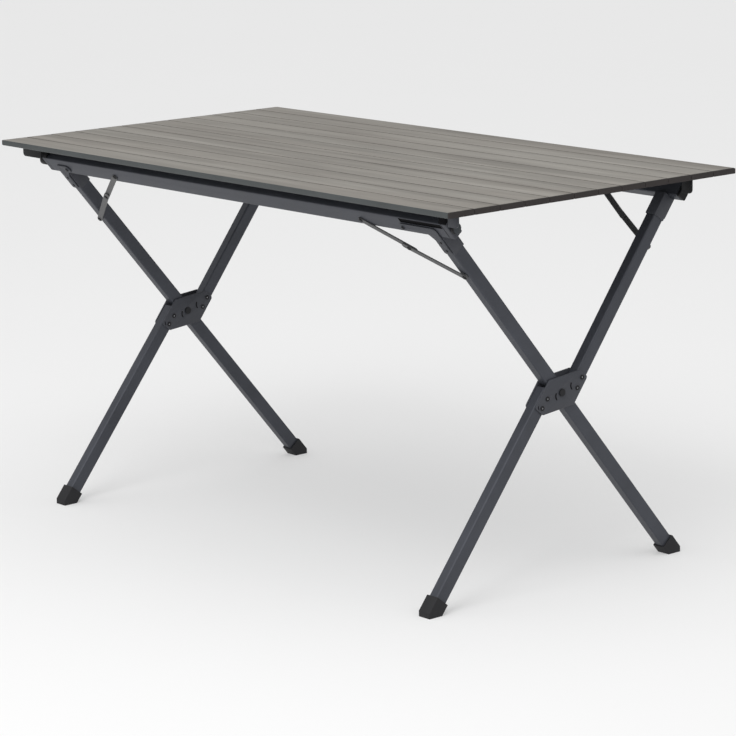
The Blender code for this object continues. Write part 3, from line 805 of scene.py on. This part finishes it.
def make_slats(settings, materials):
    """The slats, each with a dark cap on both ends."""
    tree = slat_tree()
    cap = materials["slat_cap"]
    for number, node in enumerate(SLATS, 1):
        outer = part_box(node)[1].x
        inner = outer - settings.cap
        mesh = slat_bar(tree, node, -inner, inner, 0.0, settings.edge, materials["top"])
        paint_slat(mesh, number, materials)
        place_piece(f"{node}_body", mesh, BODY_OF[node], (), (node,))
        for hand, sign in HANDS:
            start, end = sorted((sign * inner, sign * outer))
            mesh = slat_bar(tree, node, start, end, settings.cap_step, settings.edge, cap)
            place_piece(f"{node}_cap_{hand}", mesh, BODY_OF[node], (cap,))


def paint_frame_nodes(materials):
    """Rails, legs, stays and bolts keep their CAD shape under a coated finish."""
    for node in frame["nodes"]:
        if "rail_leg" in node or node == "rear_rail":
            repaint(node, materials["tube"])
        elif "link" in node:
            repaint(node, materials["link"])
        elif node.startswith("hub_bolt"):
            repaint(node, materials["rivet"])


def make_front_rail(settings, materials):
    """The front rail with a shallow slot in its face near the right end, painted shade inside."""
    half = HALVES["front"]
    high_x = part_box("front_rail")[1].x - SLOT_END
    center = (high_x - settings.slot_length / 2, half["bottom"] + SLOT_LEVEL, half["offset"] + LEG_FACE)
    size = (settings.slot_length, settings.slot_height, 2 * settings.slot_depth, 1.0)
    block = bmesh.new()
    bmesh.ops.create_cube(block, size=1.0, matrix=on_half(half, *center) @ Matrix.Diagonal(size))
    rail = linked_object("rail_working", closed_mesh(plain_copy("front_rail"), "rail_working"))
    rail.data.materials.clear()
    rail.data.materials.append(materials["tube"])
    # The cutter gives the slot's faces painted shade
    cutter = linked_object("slot_working", closed_mesh(block, "slot_working"))
    cutter.data.materials.append(materials["shadow"])
    cut = rail.modifiers.new("slot", "BOOLEAN")
    cut.operation = "DIFFERENCE"
    cut.solver = "EXACT"
    cut.material_mode = "TRANSFER"
    cut.object = cutter
    mesh = evaluated_mesh(rail)
    for item in (rail, cutter):
        bpy.data.objects.remove(item, do_unlink=True)
    mesh.name = "front_rail_shape"
    place_piece("front_rail_shape", mesh, half["body"], (), ("front_rail",))


def corner_rivets(half, hand, sign):
    """Places of the rivets of one hinge plate and its stay."""
    level = half["offset"] + LEG_FACE + PLATE_LIFT + PLATE_THICKNESS
    link_step = PLATE_THICKNESS + PLATE_LIFT
    rail_pivot, elbow, leg_pivot = STAY[hand]
    rivets = [(place, 0.0, PLATE_RIVET_SHARE) for place in PLATE_RIVETS]
    rivets += [(rail_pivot, 0.0, 1.0), (elbow, link_step, 1.0), (leg_pivot, link_step, 1.0)]
    rivets.append((PIVOT[hand], PIN_HEAD, PIVOT_SHARE))
    return [(on_half(half, side_of(half, sign) * (LEG_X + x), half["bottom"] + y, level + lift), share)
            for (x, y), lift, share in rivets]


def make_corners(edge, settings, materials, scatter, rivet):
    """Hinge plates, sockets and the rivets of plates and stays on each half."""
    for name, half in HALVES.items():
        places = []
        for hand, sign in HANDS:
            softened_piece(f"{name}_hinge_plate_{hand}", materials["hub"],
                           edge * THIN_EDGE_SHARE)
            softened_piece(f"{name}_leg_socket_{hand}", materials["hub"], edge)
            places += corner_rivets(half, hand, sign)
        scattered_piece(f"{name}_rivets", scatter, rivet, places, settings.rivet, half["body"],
                        materials["rivet"])


def make_hubs(edge, settings, materials, scatter, rivet, screw, rib):
    """Hub plates with their screws and curved ribs on both faces; a light dot on each screw is a painted
    highlight, and the ribs carry painted shade.
    """
    half = HALVES["rear"]
    screws = []
    ribs = []
    for hand, sign in HANDS:
        for layer, outward in (("outer", sign), ("inner", -sign)):
            node = f"hub_plate_{layer}_{hand}"
            softened_piece(node, materials["hub"], edge)
            low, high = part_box(node)
            face_x = side_of(half, high.x if outward > 0 else low.x)
            facing = Matrix.Rotation(math.copysign(math.pi / 2, side_of(half, outward)), 4, "Y")
            screws += [(on_half(half, face_x, y, z) @ facing, 1.0) for y, z in HUB_SCREWS]
            facing = facing @ Matrix.Rotation(RIB_SPIN, 4, "Z")
            ribs += [(on_half(half, face_x, y, z) @ facing, share) for y, z, share in HUB_RIBS]
    # A light dot on each screw head: a painted highlight
    lift = Matrix.Translation((0.0, 0.0, settings.screw * SCREW_GLINT_LIFT))
    glints = [(matrix @ lift, share) for matrix, share in screws]
    scattered_piece("hub_screws", scatter, screw, screws, settings.screw, half["body"],
                    materials["rivet"])
    scattered_piece("hub_screw_pins", scatter, rivet, glints, settings.screw * SCREW_GLINT_SHARE,
                    half["body"], materials["steel"])
    # The ribs take painted shade
    scattered_piece("hub_ribs", scatter, rib, ribs, settings.rib, half["body"],
                    materials["shadow"])


def paint_right_faces(piece, start_x, least_normal, material):
    """Give another material to a piece's faces beyond a length that face right enough."""
    mesh = piece.data
    mesh.materials.append(material)
    for face in mesh.polygons:
        if face.center.x > start_x and face.normal.x > least_normal:
            face.material_index = len(mesh.materials) - 1


def make_fittings(settings, materials):
    """Castings, caps, knobs, hooks, seats and feet."""
    for node in BODY_OF:
        if "foot" in node:
            softened_piece(node, materials["rubber"], settings.foot_edge, FOOT_EDGE_STEPS)
        elif node == "top_hook_front_right":
            # Painted shade over the front right hook, with its lip in the plates' coating
            hook = softened_piece(node, materials["shadow"], settings.edge)
            paint_right_faces(hook, LIP_START_X, NO_LIMIT, materials["hub"])
        elif "hook" in node or "seat" in node:
            softened_piece(node, materials["plastic"], settings.edge)
        elif "casting" in node:
            repaint(node, materials["hub"])
        elif "rail_cap" in node:
            repaint(node, materials["plastic"])
        elif "knob" in node:
            knob = softened_piece(node, materials["plastic"], settings.edge)
            # Painted sheen on the right knob's end face
            paint_right_faces(knob, 0.0, END_LIMIT, materials["knob"])


# Stage

def make_floor(material):
    """A wide sheet of studio paper at floor level."""
    bm = bmesh.new()
    bmesh.ops.create_grid(bm, x_segments=1, y_segments=1, size=FLOOR_REACH)
    mesh = bpy.data.meshes.new("studio_floor")
    bm.to_mesh(mesh)
    bm.free()
    mesh.materials.append(material)
    linked_object("studio_floor", mesh)


def studio_light(strength):
    """Surrounding light, brightest overhead and towards the front; seen directly it matches the floor."""
    world = bpy.data.worlds.new("studio_light")
    world.use_nodes = True
    tree = world.node_tree
    background = tree.nodes["Background"]
    background.inputs["Color"].default_value = (*WHITE, 1.0)
    place = tree.nodes.new("ShaderNodeTexCoord")
    slope = tree.nodes.new("ShaderNodeVectorMath")
    slope.operation = "DOT_PRODUCT"
    slope.inputs[1].default_value = SKY_SLOPE
    level = tree.nodes.new("ShaderNodeMath")
    level.operation = "MULTIPLY_ADD"
    level.inputs[1].default_value = strength
    level.inputs[2].default_value = strength * SKY_HORIZON
    path = tree.nodes.new("ShaderNodeLightPath")
    seen = tree.nodes.new("ShaderNodeMix")
    seen.inputs["B"].default_value = strength * PAPER_SHARE
    tree.links.new(place.outputs["Generated"], slope.inputs[0])
    tree.links.new(slope.outputs["Value"], level.inputs[0])
    tree.links.new(path.outputs["Is Camera Ray"], seen.inputs["Factor"])
    tree.links.new(level.outputs["Value"], seen.inputs["A"])
    tree.links.new(seen.outputs["Result"], background.inputs["Strength"])
    return world


def area_light(name, place, size, power):
    """A soft light that points at the middle of the table."""
    light = bpy.data.lights.new(name, "AREA")
    light.shape = "RECTANGLE"
    light.size, light.size_y = size
    light.energy = power
    holder = linked_object(name, light)
    holder.location = place
    holder.rotation_mode = "QUATERNION"
    holder.rotation_quaternion = (LIGHT_TARGET - place).to_track_quat("-Z", "Y")


def photo_camera(settings):
    """The camera at the photograph's viewing angle."""
    azimuth, elevation, roll = settings.azimuth, settings.elevation, settings.roll
    back = Vector((math.sin(azimuth) * math.cos(elevation), -math.cos(azimuth) * math.cos(elevation),
                   math.sin(elevation)))
    right = Vector((math.cos(azimuth), math.sin(azimuth), 0.0))
    down = right.cross(back)
    across = math.cos(roll) * right + math.sin(roll) * down
    up = math.sin(roll) * right - math.cos(roll) * down
    camera = bpy.data.cameras.new("photo_camera")
    camera.sensor_width = SENSOR_WIDTH
    camera.lens = settings.lens
    camera.clip_start = NEAREST
    camera.clip_end = FARTHEST
    holder = linked_object("photo_camera", camera)
    turn = Matrix((across, up, back)).transposed()
    holder.matrix_world = Matrix.Translation(CAMERA_PLACE) @ turn.to_4x4()
    return holder


# Operators

class CAMPTABLE_OT_slats(bpy.types.Operator):
    """Build the slats of the top and their end caps"""
    bl_idname = "camp_table.slats"
    bl_label = "Build Slats"

    def execute(self, context):
        settings = context.scene.camp_table
        make_slats(settings.slats, make_materials(settings.colors))
        return {"FINISHED"}


class CAMPTABLE_OT_frame(bpy.types.Operator):
    """Finish the rails, legs and stays"""
    bl_idname = "camp_table.frame"
    bl_label = "Build Frame"

    def execute(self, context):
        settings = context.scene.camp_table
        materials = make_materials(settings.colors)
        paint_frame_nodes(materials)
        make_front_rail(settings.frame, materials)
        return {"FINISHED"}


class CAMPTABLE_OT_joints(bpy.types.Operator):
    """Build the corner hinge plates, hub plates, rivets, screws and ribs"""
    bl_idname = "camp_table.joints"
    bl_label = "Build Joints"

    def execute(self, context):
        settings = context.scene.camp_table
        fasteners = settings.fasteners
        materials = make_materials(settings.colors)
        scatter = scatter_tree()
        rivet = turned_head("rivet_head", RIVET_PROFILE, fasteners.height)
        screw = turned_head("screw_head", SCREW_PROFILE, fasteners.height)
        rib = curved_rib("hub_rib")
        make_corners(settings.frame.edge, fasteners, materials, scatter, rivet)
        make_hubs(settings.frame.edge, fasteners, materials, scatter, rivet, screw, rib)
        for shape in (rivet, screw, rib):
            bpy.data.objects.remove(shape, do_unlink=True)
        return {"FINISHED"}


class CAMPTABLE_OT_fittings(bpy.types.Operator):
    """Build the hooks, seats, knobs, castings and feet"""
    bl_idname = "camp_table.fittings"
    bl_label = "Build Fittings"

    def execute(self, context):
        settings = context.scene.camp_table
        make_fittings(settings.frame, make_materials(settings.colors))
        return {"FINISHED"}


class CAMPTABLE_OT_stage(bpy.types.Operator):
    """Build the floor, the lights and the camera"""
    bl_idname = "camp_table.stage"
    bl_label = "Build Stage"

    def execute(self, context):
        scene = context.scene
        settings = scene.camp_table.stage
        make_floor(make_materials(scene.camp_table.colors)["floor"])
        scene.world = studio_light(settings.sky)
        area_light("key_light", KEY_PLACE, KEY_SIZE, settings.key)
        area_light("front_fill", FILL_PLACE, FILL_SIZE, settings.fill)
        scene.camera = photo_camera(settings)
        scene.view_settings.view_transform = "Standard"
        return {"FINISHED"}


class CAMPTABLE_PT_panel(bpy.types.Panel):
    """Settings and steps of the folding camp table"""
    bl_idname = "CAMPTABLE_PT_panel"
    bl_label = "Camp Table"
    bl_space_type = "VIEW_3D"
    bl_region_type = "UI"
    bl_category = "Camp Table"

    def draw(self, context):
        settings = context.scene.camp_table
        for part, label in (("slats", "Slats"), ("fasteners", "Fasteners"), ("frame", "Frame"),
                            ("colors", "Colours"), ("stage", "Stage")):
            group = getattr(settings, part)
            column = self.layout.column(align=True)
            column.label(text=label)
            for key in group.__annotations__:
                column.prop(group, key)
        for step in OPERATORS:
            self.layout.operator(step.bl_idname)


GROUPS = (SlatSettings, FastenerSettings, FrameSettings, ColorSettings, StageSettings, TableSettings)
OPERATORS = (CAMPTABLE_OT_slats, CAMPTABLE_OT_frame, CAMPTABLE_OT_joints, CAMPTABLE_OT_fittings,
             CAMPTABLE_OT_stage)


def register():
    for item in (*GROUPS, *OPERATORS, CAMPTABLE_PT_panel):
        bpy.utils.register_class(item)
    bpy.types.Scene.camp_table = bpy.props.PointerProperty(type=TableSettings)


def unregister():
    del bpy.types.Scene.camp_table
    for item in reversed((*GROUPS, *OPERATORS, CAMPTABLE_PT_panel)):
        bpy.utils.unregister_class(item)


def main():
    register()
    bpy.ops.camp_table.slats()
    bpy.ops.camp_table.frame()
    bpy.ops.camp_table.joints()
    bpy.ops.camp_table.fittings()
    bpy.ops.camp_table.stage()


if __name__ == "__main__":
    main()
